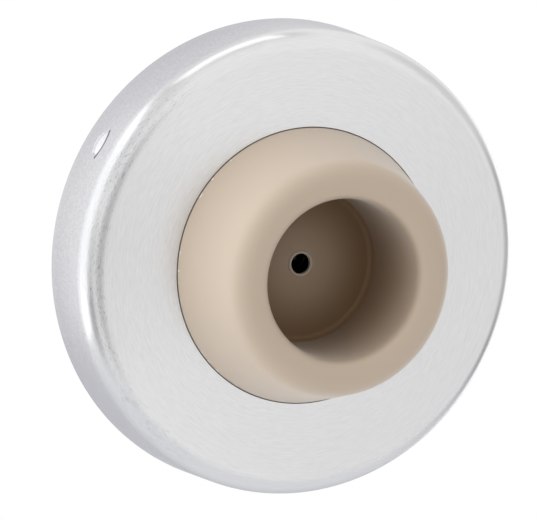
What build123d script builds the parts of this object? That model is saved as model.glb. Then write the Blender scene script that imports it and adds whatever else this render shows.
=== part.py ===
from build123d import *
import math
import os

# A round door stop that is screwed to a wall: a drawn metal housing, a moulded rubber
# bumper that stands out through its middle, a pressed retainer that holds the bumper
# in from behind, and the wood screw that pulls the whole stop against the wall.
#
# The stop's axis is Y. Its back rim lies on the wall plane, y = 0, and it faces -Y.
# Every section is drawn as (radius, out), where out is the distance from the wall.

# Housing, drawn from one sheet
housing_diameter = 62.0
shoulder_inset = 0.35       # how far the side wall leans in by the time it meets the face
face_height = 11.75         # of the face at the edge of its opening
crown_radius = 415.0        # the face is a very shallow dome
sheet = 1.1
edge_radius = 2.8           # outside bend between side wall and face
opening_edge_radius = 0.12
rim_edge_radius = 0.2

# Snap tabs, each lanced inward through the side wall
tab_count = 3
tab_angle = 147.2           # of the first tab, from +X towards +Z
tab_edge_height = 5.7       # of the sheared edge, at its middle
tab_ramp = 2.3              # from the start of the ramp to the sheared edge
tab_width = 5.6
tab_depth = 1.0
tab_nose_radius = 4.2       # of the punch, seen along a radius
shear_gap = 0.12

# Bumper, moulded in one piece
neck_diameter = 36.25
neck_clearance = 0.06       # between the neck and the opening
flange_overlap = 5.5        # how far the flange reaches behind the face
flange_clearance = 0.05
projection = 24.3           # of the lip
lip_diameter = 30.0         # where flank and lip would meet without their rounding
lip_radius = 2.9
lip_width = 4.45            # from there to where lip and recess would meet
mouth_edge_radius = 1.3
recess_draft = 1.2          # degrees
recess_corner_radius = 0.8
pad_thickness = 3.2         # rubber between the recess and the retainer
membrane_thickness = 1.0
pocket_diameter = 11.0      # relief behind the membrane, for the screwdriver
eye_diameter = 2.7          # the small hole in the membrane
eye_land = 0.3              # how deep the hole goes before it widens to the back
eye_ring_width = 0.25
eye_ring_height = 0.2

# Retainer, pressed from one sheet
retainer_sheet = 1.0
retainer_clearance = 0.35   # between its rim and the side wall
tab_clearance = 0.1         # between its rim and the sheared edges
well_diameter = 17.0
well_gap = 0.4              # between its drawn middle and the wall plane
bend_radius = 0.6
screw_hole_diameter = 5.0

# Screw, a 4.2 mm pan head
thread_diameter = 4.2
shank_diameter = 3.8        # the short plain length under the head
screw_length = 32.0         # under the head
point_length = 5.0
head_diameter = 8.0
head_height = 2.6
head_edge_height = 1.0
slot_width = 1.2            # of each arm of the cross recess
slot_reach = 4.4            # from tip to tip of an arm
slot_depth = 1.7

# Worked out from the sizes above
housing_radius = housing_diameter / 2
shoulder_radius = housing_radius - shoulder_inset
neck_radius = neck_diameter / 2
opening_radius = neck_radius + neck_clearance
crown_centre = face_height - math.sqrt(crown_radius**2 - opening_radius**2)
retainer_back = tab_edge_height + tab_clearance
retainer_front = retainer_back + retainer_sheet
retainer_radius = shoulder_radius - sheet - retainer_clearance
recess_floor = retainer_front + pad_thickness
well_radius = well_diameter / 2
well_floor = well_gap + retainer_sheet


def at(radius, out):
    """The point of a section at this radius and distance from the wall."""
    return (radius, -out)


def face_out(radius, below=0.0):
    """Height of the face's dome at this radius, or of a dome this far inside it."""
    return crown_centre + math.sqrt((crown_radius - below) ** 2 - radius**2)


def dome(inner, outer, below=0.0):
    """The arc of the face's dome between two radii."""
    middle = (inner + outer) / 2
    return ThreePointArc(*(at(r, face_out(r, below)) for r in (outer, middle, inner)))


def rounded(section, corners):
    """The section with each named corner rounded by its radius."""
    for (radius, out), size in corners:
        corner = Vector(*at(radius, out))
        vertex = section.vertices().sort_by_distance(corner)[0]
        section = fillet(vertex, size)
    return section


def spun(section):
    return revolve(section, axis=Axis.Y)


def filled_body(inset):
    """Everything inside the housing's side wall, from this far below its outer surface."""
    top = face_out(shoulder_radius)
    corners = [(0, 0), (housing_radius - inset, 0), (shoulder_radius - inset, top), (0, top)]
    return spun(make_face(Polyline(*(at(*corner) for corner in corners), close=True)))


def tab_cutters():
    """Two solids that shape one tab, at angle 0: the metal pushed in, and the punch."""

    def wall_radius(out):
        return housing_radius - shoulder_inset * out / face_out(shoulder_radius)

    ramp_start = tab_edge_height - tab_ramp
    low = Vector(*at(wall_radius(ramp_start), ramp_start))
    deep = Vector(*at(wall_radius(tab_edge_height) - tab_depth, tab_edge_height))
    along = (deep - low).normalized()
    outward = Vector(-along.Y, along.X)
    if outward.X < 0:
        outward = -outward
    punch_radius = (tab_width**2 / 4 + tab_depth**2) / (2 * tab_depth)

    def barrel(radius):
        axis_middle = (low + deep) / 2 + outward * punch_radius
        return Plane(axis_middle, z_dir=along) * Cylinder(radius, 6 * tab_ramp)

    def nose(radius):
        centre = Vector(*at(housing_radius, tab_edge_height - tab_nose_radius))
        return Plane(centre, z_dir=(1, 0, 0)) * Cylinder(radius, 8 * tab_depth)

    metal = barrel(punch_radius + sheet) & nose(tab_nose_radius)
    punch = barrel(punch_radius) & nose(tab_nose_radius + shear_gap)
    return metal & filled_body(sheet / 2), punch


def housing():
    """A drawn cup with a round opening, and three tabs lanced in from its side."""
    inner_shoulder = shoulder_radius - sheet
    outline = [
        Line(at(housing_radius - sheet, 0), at(housing_radius, 0)),
        Line(at(housing_radius, 0), at(shoulder_radius, face_out(shoulder_radius))),
        dome(opening_radius, shoulder_radius),
        Line(at(opening_radius, face_height), at(opening_radius, face_out(opening_radius, sheet))),
        dome(opening_radius, inner_shoulder, sheet),
        Line(at(inner_shoulder, face_out(inner_shoulder, sheet)), at(housing_radius - sheet, 0)),
    ]
    shell = spun(rounded(make_face(outline), [
        ((housing_radius, 0), rim_edge_radius),
        ((shoulder_radius, face_out(shoulder_radius)), edge_radius),
        ((inner_shoulder, face_out(inner_shoulder, sheet)), edge_radius - sheet),
        ((opening_radius, face_height), opening_edge_radius),
    ]))
    metal, punch = tab_cutters()
    for number in range(tab_count):
        turn = Rot(0, -tab_angle - number * 360 / tab_count, 0)
        shell = shell + turn * metal - turn * punch
    return shell


def bumper():
    """A ring bumper with a deep recess, a flange behind the face and a thin membrane."""
    flange_radius = neck_radius + flange_overlap
    flange_front = face_out(flange_radius, sheet) - flange_clearance
    mouth_radius = lip_diameter / 2 - lip_width
    recess_depth = projection - recess_floor
    floor_radius = mouth_radius - recess_depth * math.tan(math.radians(recess_draft))
    eye_radius = eye_diameter / 2
    ring_radius = eye_radius + eye_ring_width
    flank_foot = face_height + neck_clearance
    membrane_back = recess_floor - membrane_thickness
    corners = [
        (eye_radius, recess_floor - eye_land),
        (eye_radius + membrane_thickness - eye_land, membrane_back),
        (pocket_diameter / 2, membrane_back),
        (pocket_diameter / 2, retainer_front),
        (flange_radius, retainer_front),
        (flange_radius, flange_front),
        (neck_radius, flange_front),
        (neck_radius, flank_foot),
        (lip_diameter / 2, projection),
        (mouth_radius, projection),
        (floor_radius, recess_floor),
        (ring_radius + eye_ring_height, recess_floor),
        (ring_radius, recess_floor + eye_ring_height),
        (eye_radius, recess_floor + eye_ring_height),
    ]
    outline = Polyline(*(at(*corner) for corner in corners), close=True)
    return spun(rounded(make_face(outline), [
        ((lip_diameter / 2, projection), lip_radius),
        ((mouth_radius, projection), mouth_edge_radius),
        ((floor_radius, recess_floor), recess_corner_radius),
    ]))


def retainer_cup():
    """A flat ring behind the bumper, drawn back in the middle to take the screw."""
    hole_radius = screw_hole_diameter / 2
    well_outer = well_radius + retainer_sheet
    corners = [
        (retainer_radius, retainer_back),
        (retainer_radius, retainer_front),
        (well_radius, retainer_front),
        (well_radius, well_floor),
        (hole_radius, well_floor),
        (hole_radius, well_gap),
        (well_outer, well_gap),
        (well_outer, retainer_back),
    ]
    outline = Polyline(*(at(*corner) for corner in corners), close=True)
    outer_bend = bend_radius + retainer_sheet
    return spun(rounded(make_face(outline), [
        ((well_radius, retainer_front), outer_bend),
        ((well_outer, retainer_back), bend_radius),
        ((well_radius, well_floor), bend_radius),
        ((well_outer, well_gap), outer_bend),
    ]))


def mounting_screw():
    """A pan head screw with a cross recess. Its thread is drawn as its outer diameter."""
    head_radius = head_diameter / 2
    head_top = well_floor + head_height
    tip = well_floor - screw_length
    dome_middle = (0.72 * head_radius, head_top - 0.16 * head_height)
    outline = [
        Line(at(0, head_top), at(0, tip)),
        Line(at(0, tip), at(thread_diameter / 2, tip + point_length)),
        Line(at(thread_diameter / 2, tip + point_length), at(thread_diameter / 2, 0)),
        Line(at(thread_diameter / 2, 0), at(shank_diameter / 2, 0)),
        Line(at(shank_diameter / 2, 0), at(shank_diameter / 2, well_floor)),
        Line(at(shank_diameter / 2, well_floor), at(head_radius, well_floor)),
        Line(at(head_radius, well_floor), at(head_radius, well_floor + head_edge_height)),
        ThreePointArc(
            at(head_radius, well_floor + head_edge_height), at(*dome_middle), at(0, head_top)
        ),
    ]
    screw = spun(make_face(outline))
    recess = Pos(0, -head_top, 0) * (
        Box(slot_reach, 2 * slot_depth, slot_width) + Box(slot_width, 2 * slot_depth, slot_reach)
    )
    return screw - recess


os.makedirs("parts", exist_ok=True)
for node in (housing, bumper, retainer_cup, mounting_screw):
    export_step(node(), f"parts/{node.__name__}.step")
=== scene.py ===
"""Looks of a round wall door stop: its four pieces, their finishes and a plain studio.

The stop's axis is Y. Its back rim lies on y = 0, it faces -Y, and +Z is up. Sections are
drawn as (radius, out) in millimetres, where out is the distance from the wall. They become
metres when they are made into meshes, in the same frame as the solids.
"""
import logging
import math
from dataclasses import dataclass
from enum import Enum
from typing import Any, ClassVar, NamedTuple, Sequence

import bmesh
import bpy
from bpy.types import ID, Material, Node, NodeSocket, NodeTree, Object
from mathutils import Matrix, Vector


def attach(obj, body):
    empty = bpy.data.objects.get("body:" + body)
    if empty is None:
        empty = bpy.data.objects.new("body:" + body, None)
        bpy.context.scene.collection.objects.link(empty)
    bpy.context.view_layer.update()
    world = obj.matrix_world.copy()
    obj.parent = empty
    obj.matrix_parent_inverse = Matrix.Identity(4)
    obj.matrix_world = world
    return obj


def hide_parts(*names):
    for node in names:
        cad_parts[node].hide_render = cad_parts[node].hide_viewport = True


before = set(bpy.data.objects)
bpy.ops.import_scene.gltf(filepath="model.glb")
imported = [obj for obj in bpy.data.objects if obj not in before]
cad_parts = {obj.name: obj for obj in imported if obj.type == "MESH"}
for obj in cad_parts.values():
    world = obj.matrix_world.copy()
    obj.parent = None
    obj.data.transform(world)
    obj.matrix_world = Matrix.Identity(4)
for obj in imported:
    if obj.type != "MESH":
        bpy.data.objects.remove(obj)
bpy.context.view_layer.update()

Colour = tuple[float, float, float]

MM = 0.001
BODY = "root"
AXIS = (0.0, 1.0, 0.0)
WHITE: Colour = (1.0, 1.0, 1.0)

FLOAT = "NodeSocketFloat"
INT = "NodeSocketInt"
VECTOR = "NodeSocketVector"
GEOMETRY = "NodeSocketGeometry"
MATERIAL = "NodeSocketMaterial"

log = logging.getLogger("door_stop")


class Lay(Enum):
    """Which way the fine lines of a metal finish run."""

    ROUND = "round the stop's axis"
    STRAIGHT = "straight across, as the sheet was rolled"


class Pattern(Enum):
    """Which output of the fine grain a band follows."""

    LINE = "Line"
    STREAK = "Streak"


class Corner(NamedTuple):
    """One corner of a section, in millimetres, with the radius that rounds it."""

    radius: float
    out: float
    rounding: float = 0.0


# Node trees


class Wire:
    """An output of a node. Arithmetic on it adds the Math nodes that work it out."""

    def __init__(self, wiring: "Wiring", socket: NodeSocket) -> None:
        """Keeps the output socket and the wiring that it belongs to."""
        self.wiring = wiring
        self.socket = socket

    def __add__(self, other: Any) -> "Wire":
        """This plus another value."""
        return self.wiring.math("ADD", self, other)

    def __sub__(self, other: Any) -> "Wire":
        """This minus another value."""
        return self.wiring.math("SUBTRACT", self, other)

    def __rsub__(self, other: Any) -> "Wire":
        """Another value minus this."""
        return self.wiring.math("SUBTRACT", other, self)

    def __mul__(self, other: Any) -> "Wire":
        """This times another value."""
        return self.wiring.math("MULTIPLY", self, other)

    def __truediv__(self, other: Any) -> "Wire":
        """This divided by another value."""
        return self.wiring.math("DIVIDE", self, other)


class Wiring:
    """Adds nodes to one tree and joins them, for shaders and geometry alike."""

    def __init__(self, tree: NodeTree) -> None:
        """Keeps the tree that the nodes are added to."""
        self.tree = tree

    def feed(self, socket: NodeSocket, value: Any) -> None:
        """Joins an input socket to a wire, or sets its own value.

        Args:
            socket: The input socket.
            value: A wire to join it to, or a plain value.
        """
        if isinstance(value, Wire):
            self.tree.links.new(value.socket, socket)
        else:
            socket.default_value = value

    def node(self, kind: str, inputs: dict | None = None, **settings: Any) -> Node:
        """Adds a node.

        Args:
            kind: The node's type name.
            inputs: A value or a wire for each input, by name or number.
            **settings: Properties of the node itself, which are set first.

        Returns:
            The new node.
        """
        node = self.tree.nodes.new(kind)
        for name, value in settings.items():
            setattr(node, name, value)
        for key, value in (inputs or {}).items():
            self.feed(node.inputs[key], value)
        return node

    def out(self, kind: str, inputs: dict | None = None, output: Any = 0,
            **settings: Any) -> Wire:
        """Adds a node and returns one of its outputs, by name or number."""
        return Wire(self, self.node(kind, inputs, **settings).outputs[output])

    def math(self, operation: str, *values: Any, clamp: bool = False) -> Wire:
        """Adds a Math node and returns its result."""
        inputs = dict(enumerate(values))
        return self.out("ShaderNodeMath", inputs, operation=operation, use_clamp=clamp)

    def vector_math(self, operation: str, *values: Any) -> Wire:
        """Adds a Vector Math node and returns its result."""
        node = self.node("ShaderNodeVectorMath", dict(enumerate(values)), operation=operation)
        return Wire(self, next(socket for socket in node.outputs if socket.enabled))

    def vector(self, x: Any = 0.0, y: Any = 0.0, z: Any = 0.0) -> Wire:
        """Returns a vector that is put together from its three parts."""
        return self.out("ShaderNodeCombineXYZ", {0: x, 1: y, 2: z})

    def split(self, vector: Wire) -> list[Wire]:
        """Returns the three parts of a vector."""
        node = self.node("ShaderNodeSeparateXYZ", {0: vector})
        return [Wire(self, socket) for socket in node.outputs]

    def smooth_step(self, value: Any, low: Any, high: Any) -> Wire:
        """Returns 0 below low, 1 above high, and a smooth rise between them."""
        inputs = {"Value": value, "From Min": low, "From Max": high}
        return self.out("ShaderNodeMapRange", inputs, "Result", interpolation_type="SMOOTHSTEP")

    def noise(self, place: Wire, scale: Any, detail: float, roughness: float) -> Wire:
        """Returns smooth noise, from 0 to 1."""
        return self.out("ShaderNodeTexNoise", {
            "Vector": place, "Scale": scale, "Detail": detail, "Roughness": roughness,
        })

    def bump(self, depth: float, height: Wire, **more: Wire) -> Wire:
        """Returns a normal that a relief leans over. Its depth is in millimetres."""
        inputs = {"Strength": 1.0, "Distance": depth * MM, "Height": height, **more}
        return self.out("ShaderNodeBump", inputs)

    def mix_colour(self, factor: Any, first: Any, second: Any) -> Wire:
        """Returns a colour between two others, each a wire or a plain colour."""
        node = self.node("ShaderNodeMix", data_type="RGBA")
        sockets = {socket.identifier: socket for socket in node.inputs}
        self.feed(sockets["Factor_Float"], factor)
        for name, colour in (("A_Color", first), ("B_Color", second)):
            self.feed(sockets[name], colour if isinstance(colour, Wire) else (*colour, 1.0))
        return Wire(self, next(s for s in node.outputs if s.identifier == "Result_Color"))

    def group(self, tree: NodeTree, **inputs: Any) -> dict[str, Wire]:
        """Places a shader group and returns its outputs by name."""
        node = self.node("ShaderNodeGroup", inputs, node_tree=tree)
        return {socket.name: Wire(self, socket) for socket in node.outputs}


class GroupWiring(Wiring):
    """The nodes of a group tree, with wires of its inputs and the sockets of its results."""

    def __init__(self, name: str, inputs: dict[str, str], outputs: dict[str, str],
                 kind: str = "ShaderNodeTree") -> None:
        """Makes an empty tree with named sockets.

        Args:
            name: The tree's name.
            inputs: For each input its socket type.
            outputs: For each output its socket type.
            kind: The type name of the tree.
        """
        super().__init__(bpy.data.node_groups.new(name, kind))
        for way, sockets in (("INPUT", inputs), ("OUTPUT", outputs)):
            for label, socket_type in sockets.items():
                self.tree.interface.new_socket(label, in_out=way, socket_type=socket_type)
        sockets = self.node("NodeGroupInput").outputs
        self.given = {socket.name: Wire(self, socket) for socket in sockets}
        self.results = self.node("NodeGroupOutput").inputs

    def give(self, **results: Wire) -> NodeTree:
        """Joins the group's results to these wires and returns the tree."""
        for name, wire in results.items():
            self.feed(self.results[name], wire)
        return self.tree


# Shader groups that several finishes share

TINY = 1e-6
SOFT_RANGE = (0.3, 0.7)
STREAK_RANGE = (0.58, 0.72)
STREAK_SCALE = 0.7


def round_coordinates_group() -> NodeTree:
    """Turns object coordinates into a place round the axis and a distance along the section."""
    wiring = GroupWiring("Round coordinates", {"Vector": VECTOR},
                         {"Around": VECTOR, "Radius": FLOAT, "Out": FLOAT})
    x, y, z = wiring.split(wiring.given["Vector"])
    radius = wiring.math("SQRT", x * x + z * z)
    safe_radius = wiring.math("MAXIMUM", radius, TINY)
    around = wiring.vector(x / safe_radius, y + radius, z / safe_radius)
    return wiring.give(Around=around, Radius=radius, Out=y * -1.0)


def fine_grain_group() -> NodeTree:
    """Fine scratches, long one way and narrow the other, in two sizes."""
    wiring = GroupWiring("Fine grain", {"Vector": VECTOR, "Along": FLOAT, "Across": FLOAT},
                         {"Height": FLOAT, "Line": FLOAT, "Streak": FLOAT})
    along, across = wiring.given["Along"], wiring.given["Across"]
    stretch = wiring.vector(along, across, along)
    place = wiring.vector_math("MULTIPLY", wiring.given["Vector"], stretch)
    fine = wiring.noise(place, 1.0, detail=3.0, roughness=0.6)
    coarse = wiring.noise(place, STREAK_SCALE, detail=1.0, roughness=0.5)
    return wiring.give(Height=fine, Line=wiring.smooth_step(fine, *SOFT_RANGE),
                       Streak=wiring.smooth_step(coarse, *STREAK_RANGE))


def handling_clouds_group() -> NodeTree:
    """Soft clouds, as handling leaves them."""
    wiring = GroupWiring("Handling clouds", {"Vector": VECTOR, "Scale": FLOAT}, {"Clouds": FLOAT})
    given = wiring.given
    clouds = wiring.noise(given["Vector"], given["Scale"], detail=4.0, roughness=0.55)
    return wiring.give(Clouds=wiring.smooth_step(clouds, *SOFT_RANGE))


@dataclass(frozen=True)
class SharedGroups:
    """The shader groups that more than one finish uses, built once."""

    round_coordinates: NodeTree
    fine_grain: NodeTree
    handling_clouds: NodeTree

    @classmethod
    def build(cls) -> "SharedGroups":
        """Builds the three groups."""
        return cls(round_coordinates_group(), fine_grain_group(), handling_clouds_group())


# Finishes

STREAK_SHARE = 0.5
QUARTER_TURN = 0.25


class MaterialWiring(Wiring):
    """The nodes of a material, which starts as a Principled shader and a place on the piece."""

    def __init__(self, name: str) -> None:
        """Makes the material."""
        self.material = bpy.data.materials.new(name)
        self.material.use_nodes = True
        self.material.node_tree.nodes.clear()
        super().__init__(self.material.node_tree)
        self.principled = self.node("ShaderNodeBsdfPrincipled")
        self.shader = Wire(self, self.principled.outputs[0])
        self.output = self.node("ShaderNodeOutputMaterial", {"Surface": self.shader})
        self.place = self.out("ShaderNodeTexCoord", output="Object")

    def shade(self, **inputs: Any) -> Material:
        """Feeds the Principled shader. An underscore in a name stands for a space."""
        for name, value in inputs.items():
            self.feed(self.principled.inputs[name.replace("_", " ")], value)
        return self.material


class PieceWiring(MaterialWiring):
    """The nodes of a piece's material, with the round coordinates and the shared groups."""

    def __init__(self, name: str, groups: SharedGroups) -> None:
        """Makes the material and places the round coordinates."""
        super().__init__(name)
        self.groups = groups
        self.rounded = self.group(groups.round_coordinates, Vector=self.place)

    def clouds(self, scale: float) -> Wire:
        """Returns the soft clouds at this scale."""
        return self.group(self.groups.handling_clouds, Vector=self.place, Scale=scale)["Clouds"]

    def grain(self, place: Wire, along: float, across: float) -> dict[str, Wire]:
        """Returns the outputs of the fine grain at these scales."""
        return self.group(self.groups.fine_grain, Vector=place, Along=along, Across=across)

    def uneven(self, middle: float, spread: float, pattern: Wire) -> Wire:
        """Returns a value that a pattern from 0 to 1 spreads evenly about its middle."""
        return self.math("MULTIPLY_ADD", pattern, spread, middle - spread / 2)


@dataclass(frozen=True)
class WearAndPaintedLightBand:
    """A band round the axis, in millimetres, that paints scuffs, flecks, painted shade, painted
    reflections or painted glints on a surface.
    """

    radii: tuple[float, float]
    outs: tuple[float, float]
    soft: float
    colour: Colour
    strength: float
    lines: tuple[float, float] | None = None
    pattern: Pattern = Pattern.STREAK
    sides: tuple[float, float] | None = None

    def paint(self, wiring: PieceWiring, colour: Wire) -> Wire:
        """Adds the band to a colour.

        Args:
            wiring: The material's nodes.
            colour: The colour without the band.

        Returns:
            The colour with the band.
        """
        around = wiring.rounded["Around"]
        inside = self.strength
        for name, (low, high) in (("Radius", self.radii), ("Out", self.outs)):
            place = wiring.rounded[name]
            above = wiring.smooth_step(place, (low - self.soft) * MM, (low + self.soft) * MM)
            below = wiring.smooth_step(place, (high + self.soft) * MM, (high - self.soft) * MM)
            inside = above * below * inside
        if self.lines:
            inside = inside * wiring.grain(around, *self.lines)[self.pattern.value]
        if self.sides:
            inside = inside * wiring.smooth_step(wiring.split(around)[0], *self.sides)
        return wiring.mix_colour(inside, colour, self.colour)


@dataclass(frozen=True)
class TabPaintedShade:
    """The painted shade on each tab's scoop: painted shading where the bend starts, and painted
    shade along the slot over it.

    Sizes are in millimetres. The scoop counts as started between two depths below the wall's
    surface. The bend's painted shading fades out by the bend's depth. The painted shade along
    the slot is as wide as given, with a solid core, plus the part of the scoop that the slot's edge
    overhangs.
    """

    count: int
    first_angle: float
    nose_out: float
    slot_reach: float
    scoop_start: tuple[float, float]
    wall_radius: float
    wall_lean: float
    sheet: float
    overhang: float
    slot_shade_width: float
    slot_shade_core: float
    slot_shade_colour: Colour
    bend_depth: float
    bend_shade_colour: Colour

    def paint(self, wiring: PieceWiring, colour: Wire) -> Wire:
        """Adds the painted shade to a colour.

        Args:
            wiring: The material's nodes.
            colour: The colour without the painted shade.

        Returns:
            The colour with the painted shade.
        """
        x, _, z = wiring.split(wiring.rounded["Around"])
        radius, out = wiring.rounded["Radius"], wiring.rounded["Out"]
        half_step = math.pi / self.count
        from_first = wiring.math("ARCTAN2", z, x) - math.radians(self.first_angle)
        from_tab = wiring.math("WRAP", from_first, half_step, -half_step)
        from_nose = wiring.vector(radius * wiring.math("SINE", from_tab), out - self.nose_out * MM)
        depth = wiring.math("MULTIPLY_ADD", out, -self.wall_lean, self.wall_radius * MM) - radius
        short = self.slot_reach * MM - wiring.vector_math("LENGTH", from_nose)
        in_scoop = wiring.smooth_step(depth, *(limit * MM for limit in self.scoop_start))
        in_scoop = in_scoop * wiring.math("GREATER_THAN", short, 0.0)
        in_scoop = in_scoop * wiring.math("LESS_THAN", depth, self.sheet * MM)
        # painted shade along the slot's edge, wider where the edge overhangs the scoop
        clear = wiring.math("MULTIPLY_ADD", depth, -self.overhang, short)
        slot_shade_mask = wiring.smooth_step(clear, self.slot_shade_width * MM, self.slot_shade_core * MM)
        # painted shading where the bend starts, in place of a soft bend's shading
        bend_shade_mask = wiring.smooth_step(depth, self.bend_depth * MM, 0.0)
        for mask, mark in ((bend_shade_mask, self.bend_shade_colour), (slot_shade_mask, self.slot_shade_colour)):
            colour = wiring.mix_colour(in_scoop * mask, colour, mark)
        return colour


@dataclass(frozen=True)
class MetalFinish:
    """A metal surface with fine lines, faint streaks, soft marks of handling, and painted shade and
    painted reflections in bands and tab scoops.
    """

    name: str
    colour: Colour
    streak_colour: Colour
    lay: Lay
    roughness: float
    roughness_spread: float
    anisotropy: float
    lines_along: float
    lines_across: float
    line_depth: float
    line_contrast: float
    mark_scale: float
    mark_strength: float
    bulge: float = 0.0
    bulge_outs: tuple[float, float] = (0.0, 1.0)
    wear_and_light_bands: tuple[WearAndPaintedLightBand, ...] = ()
    tabs: TabPaintedShade | None = None

    def build(self, groups: SharedGroups) -> Material:
        """Builds the material.

        Args:
            groups: The shared shader groups.

        Returns:
            The finished material.
        """
        wiring = PieceWiring(self.name, groups)
        round_lay = self.lay is Lay.ROUND
        grain = wiring.grain(wiring.rounded["Around"] if round_lay else wiring.place,
                             self.lines_along, self.lines_across)
        lines = wiring.math("MULTIPLY_ADD", grain["Streak"], STREAK_SHARE, grain["Line"])
        clouds = wiring.clouds(self.mark_scale)
        colour = wiring.mix_colour(lines * self.line_contrast, self.colour, self.streak_colour)
        colour = wiring.mix_colour(clouds * self.mark_strength, colour, self.streak_colour)
        for band in self.wear_and_light_bands:
            colour = band.paint(wiring, colour)
        if self.tabs:
            colour = self.tabs.paint(wiring, colour)
        rough = wiring.uneven(self.roughness, self.roughness_spread, grain["Height"])
        normal = wiring.bump(self.line_depth, grain["Height"])
        if self.bulge:
            start, end = self.bulge_outs
            above = wiring.rounded["Out"] - start * MM
            along = wiring.math("DIVIDE", above, (end - start) * MM, clamp=True)
            normal = wiring.bump(self.bulge, 1.0 - along * along, Normal=normal)
        if round_lay:
            wiring.shade(Tangent=wiring.out("ShaderNodeTangent", direction_type="RADIAL", axis="Y"))
        return wiring.shade(
            Base_Color=colour, Roughness=rough, Normal=normal, Metallic=1.0,
            Anisotropic=self.anisotropy, Anisotropic_Rotation=QUARTER_TURN,
        )


@dataclass(frozen=True)
class RubberFinish:
    """Matt moulded rubber, a little uneven in tone, paler where the eye was trimmed, with painted
    shade darkening the recess towards its corner.

    Sizes are in millimetres. The painted shade reaches this far from the corner of the
    recess, and further up its wall, and ends this far outside the recess's floor.
    """

    name: str
    colour: Colour
    shade_colour: Colour
    pale_colour: Colour
    cloud_scale: float
    cloud_strength: float
    roughness: float
    roughness_spread: float
    sheen: float
    skin_scale: float
    skin_depth: float
    pale_inner: float
    pale_outer: float
    corner_shade_colour: Colour
    corner_radius: float
    corner_out: float
    corner_reach: float
    wall_share: float
    recess_edge: tuple[float, float]
    wear_and_light_bands: tuple[WearAndPaintedLightBand, ...] = ()

    def build(self, groups: SharedGroups) -> Material:
        """Builds the material.

        Args:
            groups: The shared shader groups.

        Returns:
            The finished material.
        """
        wiring = PieceWiring(self.name, groups)
        clouds = wiring.clouds(self.cloud_scale)
        colour = wiring.mix_colour(clouds * self.cloud_strength, self.colour, self.shade_colour)
        radius, out = wiring.rounded["Radius"], wiring.rounded["Out"]
        # painted shade, darker and browner towards the recess's corner and up its wall
        up_wall = (out - self.corner_out * MM) * self.wall_share
        from_corner = wiring.vector(radius - self.corner_radius * MM, up_wall)
        near = wiring.smooth_step(wiring.vector_math("LENGTH", from_corner),
                                  self.corner_reach * MM, 0.0)
        inner, outer = (self.corner_radius + edge for edge in self.recess_edge)
        in_recess = wiring.smooth_step(radius, outer * MM, inner * MM)
        colour = wiring.mix_colour(near * in_recess, colour, self.corner_shade_colour)
        trimmed = wiring.smooth_step(radius, self.pale_outer * MM, self.pale_inner * MM)
        colour = wiring.mix_colour(trimmed, colour, self.pale_colour)
        for band in self.wear_and_light_bands:
            colour = band.paint(wiring, colour)
        skin = wiring.noise(wiring.place, self.skin_scale, detail=3.0, roughness=0.6)
        rough = wiring.uneven(self.roughness, self.roughness_spread, skin)
        return wiring.shade(Base_Color=colour, Roughness=rough, Sheen_Weight=self.sheen,
                            Normal=wiring.bump(self.skin_depth, skin))


SATIN_STEEL = MetalFinish(
    name="satin_steel",
    colour=(0.800, 0.800, 0.805),
    streak_colour=(0.690, 0.690, 0.700),
    lay=Lay.ROUND,
    roughness=0.21,
    roughness_spread=0.05,
    anisotropy=0.80,
    lines_along=15.0,
    lines_across=5200.0,
    line_depth=0.006,
    line_contrast=0.34,
    mark_scale=70.0,
    mark_strength=0.12,
    bulge=0.28,
    bulge_outs=(2.0, 8.8),
    wear_and_light_bands=(
        # The first two bands are painted reflection: dark streaks on the left of the fillet's inner
        # side, broken up by the brushed lines.
        WearAndPaintedLightBand((28.4, 30.2), (9.0, 12.0), 0.5, (0.40, 0.41, 0.43), 0.12,
                 lines=(26.0, 6500.0), pattern=Pattern.LINE, sides=(-0.35, -0.85)),
        WearAndPaintedLightBand((28.2, 30.3), (9.0, 12.0), 0.5, (0.38, 0.39, 0.41), 0.62,
                 lines=(62.0, 9500.0), sides=(-0.40, -0.75)),
        WearAndPaintedLightBand((30.3, 31.5), (0.6, 9.0), 0.4, (0.66, 0.65, 0.68), 0.55,
                 lines=(90.0, 1500.0), pattern=Pattern.LINE),
    ),
    # painted shade on the tabs' scoops: along each slot and where each bend starts
    tabs=TabPaintedShade(
        count=3,
        first_angle=147.2,
        nose_out=1.5,
        slot_reach=4.32,
        scoop_start=(0.012, 0.026),
        wall_radius=31.0,
        wall_lean=0.0318,
        sheet=1.05,
        overhang=2.0,
        slot_shade_width=0.5,
        slot_shade_core=0.3,
        slot_shade_colour=(0.20, 0.21, 0.22),
        bend_depth=0.17,
        bend_shade_colour=(0.50, 0.50, 0.51),
    ),
)
ZINC_PLATE = MetalFinish(
    name="zinc_plate",
    colour=(0.560, 0.570, 0.585),
    streak_colour=(0.430, 0.440, 0.450),
    lay=Lay.STRAIGHT,
    roughness=0.34,
    roughness_spread=0.10,
    anisotropy=0.0,
    lines_along=120.0,
    lines_across=2500.0,
    line_depth=0.004,
    line_contrast=0.60,
    mark_scale=160.0,
    mark_strength=0.45,
)
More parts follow.
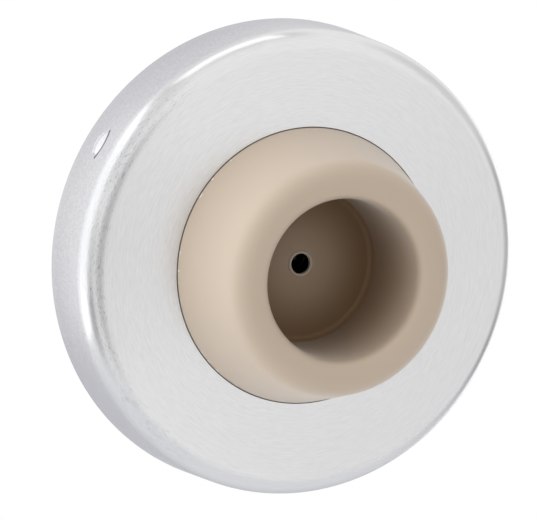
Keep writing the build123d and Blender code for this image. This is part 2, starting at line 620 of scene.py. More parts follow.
TAN_RUBBER = RubberFinish(
    name="tan_rubber",
    colour=(0.630, 0.503, 0.382),
    shade_colour=(0.605, 0.478, 0.358),
    pale_colour=(0.780, 0.700, 0.600),
    cloud_scale=110.0,
    cloud_strength=0.35,
    roughness=0.55,
    roughness_spread=0.12,
    sheen=0.50,
    skin_scale=6000.0,
    skin_depth=0.006,
    pale_inner=1.60,
    pale_outer=1.85,
    # painted shade: darker and browner towards the recess's corner
    corner_shade_colour=(0.240, 0.145, 0.065),
    corner_radius=10.25,
    corner_out=10.0,
    corner_reach=11.0,
    wall_share=0.5,
    recess_edge=(0.3, 0.9),
    wear_and_light_bands=(
        # painted shade: a dark line in the joint where the bumper's neck meets the housing's
        # opening
        WearAndPaintedLightBand((17.5, 18.4), (11.0, 11.79), 0.03, (0.10, 0.09, 0.07), 1.0),
        # pale mould flash at the joint, partly painted glints: flecks on the left side only, where
        # the light falls
        WearAndPaintedLightBand((17.9, 18.4), (11.83, 12.10), 0.03, (0.90, 0.86, 0.76), 1.0,
                 lines=(38.0, 300.0), sides=(-0.3, -0.7)),
    ),
)


# Sections and turned meshes

LONGEST_RUN = 0.5
ARC_STEP = 6.0
SHARP_ANGLE = 32.0
BAKE_WELD = 0.0005
SECTION_WELD = 0.001
THREAD_WELD = 0.004
PUNCH_LENGTH = 14.0
NOSE_LENGTH = 12.0
ROD_SIDES = 96
SMOOTH_SIDES = 256
CONE_SIDES = 384
RIDGE_STEEPNESS = 3.2


def add_object(name: str, data: ID) -> Object:
    """Adds an object with this data to the scene."""
    thing = bpy.data.objects.new(name, data)
    bpy.context.scene.collection.objects.link(thing)
    return thing


def rounded_corner(before: Corner, corner: Corner, after: Corner) -> list[Vector]:
    """The points of the arc that rounds one corner of a section.

    Args:
        before: The corner before it.
        corner: The corner itself.
        after: The corner after it.

    Returns:
        The arc's points in order, or the corner's own point where it isn't rounded.
    """
    tip = Vector((corner.radius, corner.out))
    if not corner.rounding:
        return [tip]
    back = (Vector((before.radius, before.out)) - tip).normalized()
    ahead = (Vector((after.radius, after.out)) - tip).normalized()
    opening = back.angle(ahead)
    centre = tip + (back + ahead).normalized() * corner.rounding / math.sin(opening / 2)
    reach = corner.rounding / math.tan(opening / 2)
    start = tip + back * reach - centre
    turn = math.copysign(math.pi - opening, -back.cross(ahead))
    count = max(2, math.ceil(math.degrees(abs(turn)) / ARC_STEP))
    return [centre + Matrix.Rotation(turn * i / count, 2) @ start for i in range(count + 1)]


def section_points(corners: Sequence[Corner], closed: bool) -> list[Vector]:
    """Rounds a section's corners and divides its straight runs.

    Args:
        corners: The section's corners in order.
        closed: Whether the last corner joins the first.

    Returns:
        The section's points. A closed section repeats its first point at the end.
    """
    shaped: list[Vector] = []
    for index, corner in enumerate(corners):
        after = corners[(index + 1) % len(corners)]
        shaped.extend(rounded_corner(corners[index - 1], corner, after))
    if closed:
        shaped.append(shaped[0])
    points = [shaped[0]]
    for start, end in zip(shaped, shaped[1:]):
        parts = max(1, math.ceil((end - start).length / LONGEST_RUN))
        points.extend(start.lerp(end, part / parts) for part in range(1, parts + 1))
    return points


def section_piece(name: str, points: Sequence[Vector]) -> Object:
    """Makes an object whose mesh is a chain of section points, for the turning tree.

    Args:
        name: The piece's name.
        points: The section's points, as (radius, out) in millimetres.

    Returns:
        The new object, in the scene.
    """
    mesh = bpy.data.meshes.new(name)
    places = [(point.x * MM, -point.y * MM, 0.0) for point in points]
    mesh.from_pydata(places, [(i, i + 1) for i in range(len(places) - 1)], [])
    return add_object(name, mesh)


class ShapeWiring(GroupWiring):
    """The nodes of a geometry tree, with the steps that several of the trees share."""

    def __init__(self, name: str, inputs: dict[str, str], lengths: Sequence[str] = ()) -> None:
        """Makes an empty geometry tree, whose further inputs are a material and named lengths."""
        inputs = {**inputs, "Finish": MATERIAL, **dict.fromkeys(lengths, FLOAT)}
        super().__init__(name, inputs, {"Shape": GEOMETRY}, "GeometryNodeTree")

    def numbered_grid(self, rows: Wire) -> tuple[Wire, Wire, Wire]:
        """Adds a grid, and works out in which column and row of it each point is.

        Args:
            rows: How many rows of points it has. The tree's segments are its columns.

        Returns:
            The grid, each point's place along the columns from 0 to 1, and its row.
        """
        segments = self.given["Segments"]
        inputs = {"Vertices X": segments + 1.0, "Vertices Y": rows}
        grid = self.out("GeometryNodeMeshGrid", inputs, "Mesh")
        index = self.out("GeometryNodeInputIndex")
        segment = self.math("FLOOR", index / rows)
        return grid, segment / segments, index - segment * rows

    def placed(self, grid: Wire, position: Wire, weld: float) -> Wire:
        """Moves a grid's points to their places and welds those that meet.

        Args:
            grid: The grid.
            position: Each point's place.
            weld: How near to each other points have to be, in millimetres.

        Returns:
            The welded mesh.
        """
        moved = self.out("GeometryNodeSetPosition", {"Geometry": grid, "Position": position})
        inputs = {"Geometry": moved, "Distance": weld * MM}
        return self.out("GeometryNodeMergeByDistance", inputs)

    def moved(self, mesh: Wire, middle: Any = (0.0, 0.0, 0.0), turn: Any = (0.0, 0.0, 0.0)) -> Wire:
        """Moves a mesh, after turning it by Euler angles."""
        inputs = {"Geometry": mesh, "Translation": middle, "Rotation": turn}
        return self.out("GeometryNodeTransform", inputs)

    def rod(self, radius: Wire, length: float, middle: Any, turn: Any, sides: int) -> Wire:
        """Adds a round rod of this many millimetres along Z, turned and moved to its middle."""
        inputs = {"Vertices": sides, "Radius": radius, "Depth": length * MM}
        return self.moved(self.out("GeometryNodeMeshCylinder", inputs, "Mesh"), middle, turn)

    def combine(self, operation: str, *meshes: Wire) -> Wire:
        """Adds a Mesh Boolean node. For a difference the first mesh is the one that is cut."""
        node = self.node("GeometryNodeMeshBoolean", operation=operation, solver="EXACT")
        if operation == "DIFFERENCE":
            self.feed(node.inputs["Mesh 1"], meshes[0])
            meshes = meshes[1:]
        for mesh in meshes:
            self.feed(node.inputs["Mesh 2"], mesh)
        return Wire(self, node.outputs["Mesh"])

    def real(self, mesh: Wire) -> Wire:
        """Makes a mesh out of instances."""
        return self.out("GeometryNodeRealizeInstances", {0: mesh})

    def finish(self, mesh: Wire) -> NodeTree:
        """Gives the mesh its material, makes it the tree's result and returns the tree."""
        inputs = {"Geometry": self.real(mesh), "Material": self.given["Finish"]}
        return self.give(Shape=self.out("GeometryNodeSetMaterial", inputs))


def turning_tree() -> NodeTree:
    """Geometry nodes that turn a section about the Y axis into a closed mesh."""
    wiring = ShapeWiring("Turned section", {"Section": GEOMETRY, "Segments": INT})
    section = wiring.given["Section"]
    count = wiring.out("GeometryNodeAttributeDomainSize", {0: section}, "Point Count",
                       component="MESH")
    grid, turn, row = wiring.numbered_grid(count)
    point = wiring.out("GeometryNodeSampleIndex", {
        "Geometry": section, "Value": wiring.out("GeometryNodeInputPosition"), "Index": row,
    }, data_type="FLOAT_VECTOR", domain="POINT")
    inputs = {"Vector": point, "Axis": AXIS, "Angle": turn * math.tau}
    turned = wiring.out("ShaderNodeVectorRotate", inputs, rotation_type="AXIS_ANGLE")
    return wiring.finish(wiring.placed(grid, turned, SECTION_WELD))


def snap_tabs_tree() -> NodeTree:
    """Geometry nodes that lance snap tabs inward through a turned shell's side wall.

    Each tab is the sheet that a round punch pushes in, below a sheared edge. The tree makes
    one tab at angle 0, spaces copies of it round the axis and joins them to the shell.
    """
    lengths = ("Sheet", "Shear Gap", "Punch Radius", "Nose Radius", "Wall Radius",
               "Shoulder Radius", "Wall Height")
    wiring = ShapeWiring("Snap tabs", {
        "Shell": GEOMETRY, "Count": INT, "Angle": FLOAT, "Punch Tilt": FLOAT,
        "Punch Middle": VECTOR, "Nose Middle": VECTOR,
    }, lengths)
    given = wiring.given
    quarter = math.pi / 2
    tilt = wiring.vector(-quarter, 0.0, given["Punch Tilt"])
    half_sheet = given["Sheet"] * 0.5

    def barrel(radius: Wire) -> Wire:
        """The punch's round body, as it leans against the wall."""
        return wiring.rod(radius, PUNCH_LENGTH, given["Punch Middle"], tilt, SMOOTH_SIDES)

    def nose(radius: Wire) -> Wire:
        """The round end that leaves the sheared edge, seen along a radius."""
        turn = (0.0, quarter, 0.0)
        return wiring.rod(radius, NOSE_LENGTH, given["Nose Middle"], turn, ROD_SIDES)

    cone = wiring.out("GeometryNodeMeshCone", {
        "Vertices": CONE_SIDES,
        "Radius Top": given["Shoulder Radius"] - half_sheet,
        "Radius Bottom": given["Wall Radius"] - half_sheet,
        "Depth": given["Wall Height"],
    }, "Mesh")
    inside = wiring.moved(cone, turn=(quarter, 0.0, 0.0))
    outer_barrel = barrel(given["Punch Radius"] + given["Sheet"])
    metal = wiring.combine("INTERSECT", outer_barrel, nose(given["Nose Radius"]), inside)
    cleared = given["Nose Radius"] + given["Shear Gap"]
    punch = wiring.combine("INTERSECT", barrel(given["Punch Radius"]), nose(cleared))

    points = wiring.out("GeometryNodePoints", {"Count": given["Count"]})
    step = wiring.math("DIVIDE", -math.tau, given["Count"])
    angle = wiring.out("GeometryNodeInputIndex") * step - given["Angle"]
    turn = wiring.vector(0.0, angle, 0.0)

    def spaced(mesh: Wire) -> Wire:
        """Copies of a mesh spaced evenly round the axis."""
        inputs = {"Points": points, "Instance": mesh, "Rotation": turn}
        return wiring.real(wiring.out("GeometryNodeInstanceOnPoints", inputs))

    joined = wiring.combine("UNION", given["Shell"], spaced(metal))
    return wiring.finish(wiring.combine("DIFFERENCE", joined, spaced(punch)))


def screw_thread_tree() -> NodeTree:
    """Geometry nodes that add a thread and a cross recess to a turned screw head.

    The thread is a grid whose rows follow the helix, so the seam closes where one row
    meets the row one pitch further on. Its first and last rows close on the axis.
    """
    lengths = ("Core Radius", "Crest Radius", "Pitch", "Length", "Point Length", "Head Top",
               "Slot Width", "Slot Reach", "Slot Depth")
    inputs = {"Head": GEOMETRY, "Segments": INT, "Rows Per Pitch": INT}
    wiring = ShapeWiring("Screw thread", inputs, lengths)
    given = wiring.given
    core, length, pitch = given["Core Radius"], given["Length"], given["Pitch"]
    rows_per_pitch = given["Rows Per Pitch"]
    rows = wiring.math("CEIL", (length / pitch + 1.0) * rows_per_pitch) + 3.0
    grid, turn, row = wiring.numbered_grid(rows)
    wanted = ((row - 1.0) / rows_per_pitch + turn - 1.0) * pitch
    depth = wiring.math("MINIMUM", wiring.math("MAXIMUM", wanted, 0.0), length)
    phase = wiring.math("FRACT", depth / pitch - turn + 1.0)
    from_crest = wiring.math("ABSOLUTE", phase - 0.5)
    ridge = wiring.math("SUBTRACT", 1.0, from_crest * RIDGE_STEEPNESS, clamp=True)
    left = wiring.math("DIVIDE", length - depth, given["Point Length"], clamp=True)
    started = wiring.math("DIVIDE", depth, pitch, clamp=True)
    height = ridge * started * (given["Crest Radius"] - core)
    first = wiring.math("GREATER_THAN", row, 0.5)
    last = wiring.math("LESS_THAN", row, rows - 1.5)
    radius = (core + height) * left * (first * last)
    angle = turn * math.tau
    across = radius * wiring.math("COSINE", angle)
    place = wiring.vector(across, depth, radius * wiring.math("SINE", angle))
    thread = wiring.placed(grid, place, THREAD_WELD)

    at_top = wiring.vector(0.0, given["Head Top"] * -1.0, 0.0)
    arms = []
    for x, z in (("Slot Reach", "Slot Width"), ("Slot Width", "Slot Reach")):
        size = wiring.vector(given[x], given["Slot Depth"] * 2.0, given[z])
        arms.append(wiring.moved(wiring.out("GeometryNodeMeshCube", {"Size": size}), at_top))
    joined = wiring.combine("UNION", given["Head"], thread)
    return wiring.finish(wiring.combine("DIFFERENCE", joined, *arms))


@dataclass(frozen=True)
class ShapingTrees:
    """The geometry trees that shape the pieces, built once."""

    turning: NodeTree
    snap_tabs: NodeTree
    screw_thread: NodeTree

    @classmethod
    def build(cls) -> "ShapingTrees":
        """Builds the three trees."""
        return cls(turning_tree(), snap_tabs_tree(), screw_thread_tree())


def shape_with(piece: Object, tree: NodeTree, **inputs: Any) -> None:
    """Puts a Geometry Nodes modifier on a piece.

    Args:
        piece: The object to shape.
        tree: The Geometry Nodes tree.
        **inputs: Values of the tree's named inputs. An underscore stands for a space.
    """
    modifier = piece.modifiers.new(tree.name, "NODES")
    modifier.node_group = tree
    for name, value in inputs.items():
        modifier[tree.interface.items_tree[name.replace("_", " ")].identifier] = value


def bake(piece: Object) -> None:
    """Turns a piece's modifiers into a plain mesh with outward faces and smooth shading."""
    bpy.context.view_layer.update()
    graph = bpy.context.evaluated_depsgraph_get()
    mesh = bpy.data.meshes.new_from_object(piece.evaluated_get(graph))
    piece.modifiers.clear()
    shaped = bmesh.new()
    shaped.from_mesh(mesh)
    bmesh.ops.remove_doubles(shaped, verts=shaped.verts, dist=BAKE_WELD * MM)
    bmesh.ops.recalc_face_normals(shaped, faces=shaped.faces)
    shaped.to_mesh(mesh)
    shaped.free()
    mesh.shade_smooth()
    mesh.set_sharp_from_angle(angle=math.radians(SHARP_ANGLE))
    piece.data = mesh


def put_on_stop(piece: Object, node: str) -> None:
    """Attaches a finished piece to the stop's body and hides the CAD part that it replaces."""
    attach(piece, BODY)
    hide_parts(node)
    log.info("%s: %d faces, replaces %s", piece.name, len(piece.data.polygons), node)


# The pieces


@dataclass
class TurnedPiece:
    """A piece that is turned about the stop's axis. Its sizes are in millimetres."""

    name: ClassVar[str]
    node: ClassVar[str]
    slot: ClassVar[str]
    closed: ClassVar[bool] = True
    segments: int = 256

    def corners(self) -> list[Corner]:
        """The section's corners in order, which each kind of piece gives."""
        raise NotImplementedError

    def add_details(self, piece: Object, trees: ShapingTrees, finish: Material) -> None:
        """Shapes what turning leaves out. A plain turned piece has nothing to add."""

    def build(self, trees: ShapingTrees, finish: Material) -> Object:
        """Builds the piece.

        Args:
            trees: The geometry trees.
            finish: The piece's material.

        Returns:
            The finished piece.
        """
        piece = section_piece(self.name, section_points(self.corners(), self.closed))
        shape_with(piece, trees.turning, Segments=self.segments, Finish=finish)
        self.add_details(piece, trees, finish)
        bake(piece)
        put_on_stop(piece, self.node)
        return piece


@dataclass
class HousingShell(TurnedPiece):
    """The drawn sheet housing: side wall, rounded edge, shallow domed face and snap tabs."""

    name: ClassVar[str] = "housing_shell"
    node: ClassVar[str] = "housing"
    slot: ClassVar[str] = "housing_metal"
    segments: int = 384
    diameter: float = 62.0
    shoulder_inset: float = 0.35
    face_height: float = 11.75
    crown_radius: float = 415.0
    dome_rings: int = 8
    sheet: float = 1.1
    edge_radius: float = 2.8
    opening_radius: float = 18.185
    opening_edge_radius: float = 0.12
    rim_edge_radius: float = 0.2
    tab_count: int = 3
    tab_angle: float = 147.2
    tab_edge_height: float = 5.7
    tab_ramp: float = 2.3
    tab_width: float = 5.6
    tab_depth: float = 1.0
    tab_nose_radius: float = 4.2
    shear_gap: float = 0.12

    @property
    def outer(self) -> float:
        """Radius of the back rim."""
        return self.diameter / 2

    @property
    def shoulder(self) -> float:
        """Radius at which the side wall would meet the face without the bend."""
        return self.outer - self.shoulder_inset

    def face_out(self, radius: float, below: float = 0.0) -> float:
        """Height of the face's dome at this radius, or of a dome this far inside it."""
        centre = self.face_height - math.sqrt(self.crown_radius**2 - self.opening_radius**2)
        return centre + math.sqrt((self.crown_radius - below) ** 2 - radius**2)

    def corners(self) -> list[Corner]:
        """The section's corners, from the back rim up the outside and down the inside."""
        inner = self.shoulder - self.sheet
        rings = [self.shoulder - self.edge_radius - 1 - ring for ring in range(self.dome_rings)]
        front = [Corner(radius, self.face_out(radius)) for radius in rings]
        back = [Corner(radius, self.face_out(radius, self.sheet)) for radius in rings]
        edge = self.opening_edge_radius
        return [
            Corner(self.outer - self.sheet, 0.0),
            Corner(self.outer, 0.0, self.rim_edge_radius),
            Corner(self.shoulder, self.face_out(self.shoulder), self.edge_radius),
            *front,
            Corner(self.opening_radius, self.face_height, edge),
            Corner(self.opening_radius, self.face_out(self.opening_radius, self.sheet), edge / 2),
            *reversed(back),
            Corner(inner, self.face_out(inner, self.sheet), self.edge_radius - self.sheet),
        ]

    def wall_radius(self, out: float) -> float:
        """Radius of the side wall's outer surface at this distance from the wall plane."""
        return self.outer - self.shoulder_inset * out / self.face_out(self.shoulder)

    def punch(self) -> tuple[float, Vector, float]:
        """The radius, middle and tilt of the round punch that pushes one tab in, at angle 0."""
        ramp_start = self.tab_edge_height - self.tab_ramp
        low = Vector((self.wall_radius(ramp_start), -ramp_start))
        deep = Vector((self.wall_radius(self.tab_edge_height) - self.tab_depth,
                       -self.tab_edge_height))
        along = (low - deep).normalized()
        outward = Vector((along.y, -along.x))
        radius = (self.tab_width**2 / 4 + self.tab_depth**2) / (2 * self.tab_depth)
        middle = (low + deep) / 2 + outward * radius
        return radius, middle.to_3d(), math.atan2(-along.x, along.y)

    def add_details(self, piece: Object, trees: ShapingTrees, finish: Material) -> None:
        """Lances the snap tabs.

        Args:
            piece: The turned housing.
            trees: The geometry trees.
            finish: The housing's material.
        """
        radius, middle, tilt = self.punch()
        nose_out = self.tab_edge_height - self.tab_nose_radius
        shape_with(
            piece, trees.snap_tabs,
            Count=self.tab_count,
            Angle=math.radians(self.tab_angle),
            Sheet=self.sheet * MM,
            Shear_Gap=self.shear_gap * MM,
            Punch_Radius=radius * MM,
            Punch_Middle=middle * MM,
            Punch_Tilt=tilt,
            Nose_Radius=self.tab_nose_radius * MM,
            Nose_Middle=Vector((self.outer, -nose_out, 0.0)) * MM,
            Wall_Radius=self.outer * MM,
            Shoulder_Radius=self.shoulder * MM,
            Wall_Height=self.face_out(self.shoulder) * MM,
            Finish=finish,
        )


@dataclass
class RingBumper(TurnedPiece):
    """The moulded rubber bumper: flank, rounded lip, deep recess and thin membrane."""

    name: ClassVar[str] = "ring_bumper"
    node: ClassVar[str] = "bumper"
    slot: ClassVar[str] = "bumper_rubber"
    segments: int = 288
    neck_radius: float = 18.125
    flange_radius: float = 23.625
    flange_front: float = 10.32
    flange_back: float = 6.8
    flange_rounding: float = 0.3
    flank_foot: float = 11.81
    projection: float = 24.3
    lip_radius: float = 15.0
    lip_rounding: float = 2.9
    mouth_radius: float = 10.55
    mouth_rounding: float = 1.3
    recess_floor: float = 10.0
    floor_radius: float = 10.25
    floor_rounding: float = 0.8
    membrane_back: float = 9.0
    pocket_radius: float = 5.5
    pocket_rounding: float = 0.2
    eye_radius: float = 1.35
    eye_land: float = 0.3
    eye_ring_width: float = 0.25
    eye_ring_height: float = 0.2
    eye_ring_rounding: float = 0.08

    def corners(self) -> list[Corner]:
        """The section's corners, from the back of the eye round the outside to its front."""
        ring = self.eye_radius + self.eye_ring_width
        ring_top = self.recess_floor + self.eye_ring_height
        land_back = self.recess_floor - self.eye_land
        eye_back = self.eye_radius + land_back - self.membrane_back
        return [
            Corner(self.eye_radius, land_back),
            Corner(eye_back, self.membrane_back),
            Corner(self.pocket_radius, self.membrane_back, self.flange_rounding),
            Corner(self.pocket_radius, self.flange_back, self.pocket_rounding),
            Corner(self.flange_radius, self.flange_back, self.flange_rounding),
            Corner(self.flange_radius, self.flange_front, self.flange_rounding),
            Corner(self.neck_radius, self.flange_front),
            Corner(self.neck_radius, self.flank_foot),
            Corner(self.lip_radius, self.projection, self.lip_rounding),
            Corner(self.mouth_radius, self.projection, self.mouth_rounding),
            Corner(self.floor_radius, self.recess_floor, self.floor_rounding),
            Corner(ring + self.eye_ring_height, self.recess_floor),
            Corner(ring, ring_top, self.eye_ring_rounding),
            Corner(self.eye_radius, ring_top, self.eye_ring_rounding),
        ]


@dataclass
class RetainerPlate(TurnedPiece):
    """The pressed retainer: a flat ring with its middle drawn back to take the screw."""

    name: ClassVar[str] = "retainer_plate"
    node: ClassVar[str] = "retainer_cup"
    slot: ClassVar[str] = "retainer_steel"
    rim_radius: float = 29.2
    back: float = 5.8
    sheet: float = 1.0
    well_radius: float = 8.5
    well_gap: float = 0.4
    bend_radius: float = 0.6
    hole_radius: float = 2.5
    cut_rounding: float = 0.1
    rolled_rounding: float = 0.25

    def corners(self) -> list[Corner]:
        """The section's corners, from the rim's back round the front."""
        front = self.back + self.sheet
        well_outer = self.well_radius + self.sheet
        well_floor = self.well_gap + self.sheet
        outer_bend = self.bend_radius + self.sheet
        return [
            Corner(self.rim_radius, self.back, self.cut_rounding),
            Corner(self.rim_radius, front, self.rolled_rounding),
            Corner(self.well_radius, front, outer_bend),
            Corner(self.well_radius, well_floor, self.bend_radius),
            Corner(self.hole_radius, well_floor, self.cut_rounding),
            Corner(self.hole_radius, self.well_gap, self.cut_rounding),
            Corner(well_outer, self.well_gap, outer_bend),
            Corner(well_outer, self.back, self.bend_radius),
        ]


@dataclass
class FixingScrew(TurnedPiece):
    """The pan head screw: domed head with a cross recess, short plain shank and thread."""

    name: ClassVar[str] = "fixing_screw"
    node: ClassVar[str] = "mounting_screw"
    slot: ClassVar[str] = "screw_steel"
    closed: ClassVar[bool] = False
    segments: int = 96
    seat: float = 1.4
    head_radius: float = 4.0
    head_height: float = 2.6
    head_edge_height: float = 1.0
    head_rounding: float = 0.1
    dome_rings: int = 8
    shank_radius: float = 1.9
    shank_end: float = 0.1
    core_start: float = -0.4
    core_radius: float = 1.45
    crest_radius: float = 2.1
    pitch: float = 1.4
    rows_per_pitch: int = 14
    thread_length: float = 30.59
    point_length: float = 5.0
    slot_width: float = 1.2
    slot_reach: float = 4.4
    slot_depth: float = 1.7

    def corners(self) -> list[Corner]:
        """The head's and shank's corners, from the middle of the head's top to the thread."""
        top = self.seat + self.head_height
        edge = self.seat + self.head_edge_height
        angles = [math.pi / 2 * ring / self.dome_rings for ring in range(1, self.dome_rings)]
        dome = [Corner(self.head_radius * math.sin(angle), edge + (top - edge) * math.cos(angle))
                for angle in angles]
        return [
            Corner(0.0, top),
            *dome,
            Corner(self.head_radius, edge),
            Corner(self.head_radius, self.seat, self.head_rounding),
            Corner(self.shank_radius, self.seat, self.head_rounding),
            Corner(self.shank_radius, self.shank_end),
            Corner(self.core_radius, self.core_start),
            Corner(0.0, self.core_start),
        ]

    def add_details(self, piece: Object, trees: ShapingTrees, finish: Material) -> None:
        """Adds the thread and cuts the cross recess.

        Args:
            piece: The turned head and shank.
            trees: The geometry trees.
            finish: The screw's material.
        """
        shape_with(
            piece, trees.screw_thread,
            Core_Radius=self.core_radius * MM,
            Crest_Radius=self.crest_radius * MM,
            Pitch=self.pitch * MM,
            Rows_Per_Pitch=self.rows_per_pitch,
            Length=self.thread_length * MM,
            Point_Length=self.point_length * MM,
            Segments=self.segments,
            Head_Top=(self.seat + self.head_height) * MM,
            Slot_Width=self.slot_width * MM,
            Slot_Reach=self.slot_reach * MM,
            Slot_Depth=self.slot_depth * MM,
            Finish=finish,
        )


# The studio

LAMP_WATTS = 4.0
FLOOR_ROUGHNESS = 0.8


def direction(azimuth: float, elevation: float) -> Vector:
    """The unit vector from the stop towards a place round it.

    Args:
        azimuth: Degrees round the Z axis: 0 is straight in front, at -Y, and 90 is at +X.
        elevation: Degrees above the horizon.

    Returns:
        The direction.
    """
    turn, rise = math.radians(azimuth), math.radians(elevation)
    flat = math.cos(rise)
    return Vector((math.sin(turn) * flat, -math.cos(turn) * flat, math.sin(rise)))


def aim(thing: Object, place: Vector, target: Vector) -> None:
    """Puts a lamp or camera at a place and points it at a target."""
    thing.location = place
    thing.rotation_euler = (target - place).to_track_quat("-Z", "Y").to_euler()


@dataclass(frozen=True)
class SoftBox:
    """A square of soft light that faces the stop from a metre away."""

    name: str
    azimuth: float
    elevation: float
    width: float
    height: float
    radiance: float
    tint: Colour = WHITE

    def build(self) -> None:
        """Builds the lamp."""
        lamp = bpy.data.lights.new(self.name, "AREA")
        lamp.shape = "RECTANGLE"
        lamp.size, lamp.size_y = self.width, self.height
        lamp.energy = LAMP_WATTS * self.radiance * self.width * self.height
        lamp.color = self.tint
        thing = add_object(self.name, lamp)
        thing.visible_camera = False
        aim(thing, direction(self.azimuth, self.elevation), Vector())


@dataclass(frozen=True)
class LightPatch:
    """A round part of the white surroundings with a strength and tint of its own."""

    azimuth: float
    elevation: float
    inner_angle: float
    outer_angle: float
    strength: float
    tint: Colour = WHITE

    def change(self, wiring: Wiring, towards: Wire, light: Any) -> Wire:
        """Changes the surroundings' light in this patch.

        Args:
            wiring: The world's nodes.
            towards: The direction that is lit from.
            light: The light's colour before this patch.

        Returns:
            The light's colour with this patch in it.
        """
        middle = tuple(direction(self.azimuth, self.elevation))
        nearness = wiring.vector_math("DOT_PRODUCT", towards, middle)
        inside = wiring.smooth_step(nearness, math.cos(math.radians(self.outer_angle)),
                                    math.cos(math.radians(self.inner_angle)))
        added = tuple(self.strength * part - 1.0 for part in self.tint)
        change = wiring.vector_math("MULTIPLY_ADD", inside, added, WHITE)
        return wiring.vector_math("MULTIPLY", light, change)


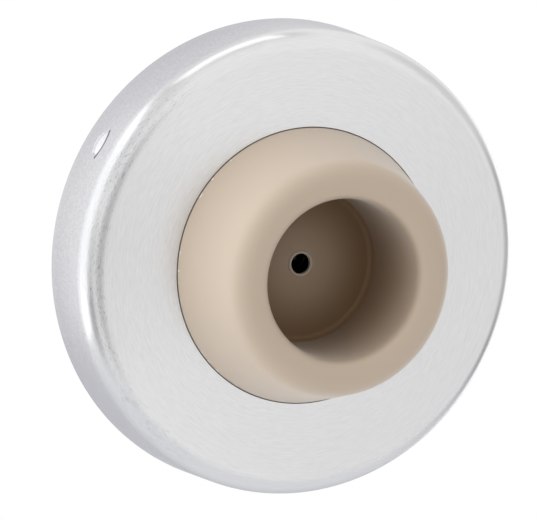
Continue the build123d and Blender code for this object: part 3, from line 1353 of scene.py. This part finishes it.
@dataclass(frozen=True)
class Studio:
    """Camera, soft lamps, white surroundings and a pale floor."""

    camera_azimuth: float = -23.7
    camera_elevation: float = 9.7
    camera_distance: float = 1.0
    focal_pixels: float = 7600.0
    picture_width: float = 539.0
    picture_rise: float = 8.2
    sensor_width: float = 36.0
    floor_drop: float = 0.45
    floor_half_width: float = 8.0
    floor_fade: tuple[float, float] = (0.5, 1.1)
    floor_colour: Colour = (0.86, 0.86, 0.86)
    # painted shade: the floor is darker behind the stop
    floor_shade_colour: Colour = (0.70, 0.70, 0.71)
    floor_back: tuple[float, float] = (-0.05, 0.35)
    surroundings: float = 1.3
    soft_shades: tuple[LightPatch, ...] = (
        LightPatch(0.0, 0.0, 34.0, 47.0, 0.34),
        LightPatch(100.0, 40.0, 30.0, 70.0, 0.50),
        LightPatch(-110.0, 22.0, 24.0, 60.0, 1.27, (0.94, 1.00, 1.07)),
    )
    lamps: tuple[SoftBox, ...] = (
        SoftBox("left_softbox", -110.0, 11.0, 1.04, 1.7, 0.44, (0.93, 0.97, 1.0)),
        SoftBox("top_softbox", -168.0, 80.0, 0.7, 0.5, 0.60),
    )
    light_patches: tuple[LightPatch, ...] = (
        LightPatch(-112.0, 11.0, 18.0, 40.0, 0.72),
        LightPatch(-168.0, 80.0, 16.0, 34.0, 0.66),
        LightPatch(-12.0, -4.0, 8.0, 28.0, 0.57),
        LightPatch(-60.0, -6.0, 6.0, 22.0, 0.74),
        LightPatch(-62.0, -27.0, 6.0, 20.0, 0.46),
        LightPatch(-56.0, 42.0, 10.0, 32.0, 0.84),
        LightPatch(86.0, -12.0, 10.0, 26.0, 0.52),
        LightPatch(40.0, -12.0, 8.0, 26.0, 0.88),
        LightPatch(84.0, -38.0, 8.0, 24.0, 0.50),
        LightPatch(88.0, 20.0, 10.0, 32.0, 0.76),
        LightPatch(126.0, -12.0, 10.0, 26.0, 1.45),
        LightPatch(173.0, -12.0, 20.0, 46.0, 0.64, (0.97, 0.97, 1.03)),
        LightPatch(-178.0, 23.0, 10.0, 30.0, 0.81, (0.985, 0.98, 1.015)),
    )

    def build_camera(self) -> None:
        """Places the camera at the photograph's viewing angle."""
        camera = bpy.data.cameras.new("photo_camera")
        camera.sensor_width = self.sensor_width
        camera.lens = self.focal_pixels / self.picture_width * self.sensor_width
        thing = add_object("photo_camera", camera)
        back = direction(self.camera_azimuth, self.camera_elevation)
        right = (-back).cross(Vector((0, 0, 1))).normalized()
        down = (-back).cross(right)
        target = down * self.picture_rise / self.focal_pixels * self.camera_distance
        aim(thing, target + back * self.camera_distance, target)
        bpy.context.scene.camera = thing

    def build_surroundings(self) -> None:
        """Makes the world white to the camera and in reflections, and gentler as a light."""
        world = bpy.data.worlds.new("white_surroundings")
        bpy.context.scene.world = world
        world.use_nodes = True
        world.node_tree.nodes.clear()
        wiring = Wiring(world.node_tree)
        kinds = ("Is Camera Ray", "Is Glossy Ray", "Is Transmission Ray")
        camera, glossy, clear = (wiring.out("ShaderNodeLightPath", output=kind) for kind in kinds)
        towards = wiring.out("ShaderNodeTexCoord", output="Generated")
        light = (self.surroundings,) * 3
        for shade in self.soft_shades:
            light = shade.change(wiring, towards, light)
        light = wiring.mix_colour(wiring.math("MAXIMUM", glossy, clear), light, WHITE)
        for patch in self.light_patches:
            light = patch.change(wiring, towards, light)
        light = wiring.mix_colour(camera, light, WHITE)
        background = wiring.out("ShaderNodeBackground", {"Color": light, "Strength": 1.0})
        wiring.node("ShaderNodeOutputWorld", {"Surface": background})

    def build_floor(self) -> None:
        """Lays a pale floor well below the stop, painted darker behind it as painted shade, which
        fades into the white surroundings.
        """
        half = self.floor_half_width
        mesh = bpy.data.meshes.new("floor")
        places = [(x * half, y * half, -self.floor_drop) for x, y in
                  ((-1, -1), (1, -1), (1, 1), (-1, 1))]
        mesh.from_pydata(places, [], [(0, 1, 2, 3)])
        wiring = MaterialWiring("pale_floor")
        # painted shade: darker towards the back of the floor
        behind = wiring.smooth_step(wiring.split(wiring.place)[1], *self.floor_back)
        colour = wiring.mix_colour(behind, self.floor_colour, self.floor_shade_colour)
        far = wiring.smooth_step(wiring.vector_math("LENGTH", wiring.place), *self.floor_fade)
        under = wiring.out("ShaderNodeNewGeometry", output="Backfacing")
        clear = wiring.out("ShaderNodeBsdfTransparent")
        inputs = {0: wiring.math("MAXIMUM", far, under), 1: wiring.shader, 2: clear}
        faded = wiring.out("ShaderNodeMixShader", inputs)
        wiring.feed(wiring.output.inputs["Surface"], faded)
        mesh.materials.append(wiring.shade(Base_Color=colour, Roughness=FLOOR_ROUGHNESS))
        floor = add_object("floor", mesh)

    def build(self) -> None:
        """Builds the whole studio."""
        bpy.context.scene.view_settings.view_transform = "Standard"
        self.build_camera()
        self.build_surroundings()
        self.build_floor()
        for lamp in self.lamps:
            lamp.build()
        log.info("studio: camera, floor and %d soft boxes", len(self.lamps))


def main() -> None:
    """Builds the studio and the four pieces in order."""
    logging.basicConfig(level=logging.INFO, format="%(name)s: %(message)s")
    Studio().build()
    groups = SharedGroups.build()
    steel = SATIN_STEEL.build(groups)
    rubber = TAN_RUBBER.build(groups)
    zinc = ZINC_PLATE.build(groups)
    trees = ShapingTrees.build()
    HousingShell().build(trees, steel)
    RingBumper().build(trees, rubber)
    RetainerPlate().build(trees, zinc)
    FixingScrew().build(trees, zinc)


if __name__ == "__main__":
    main()
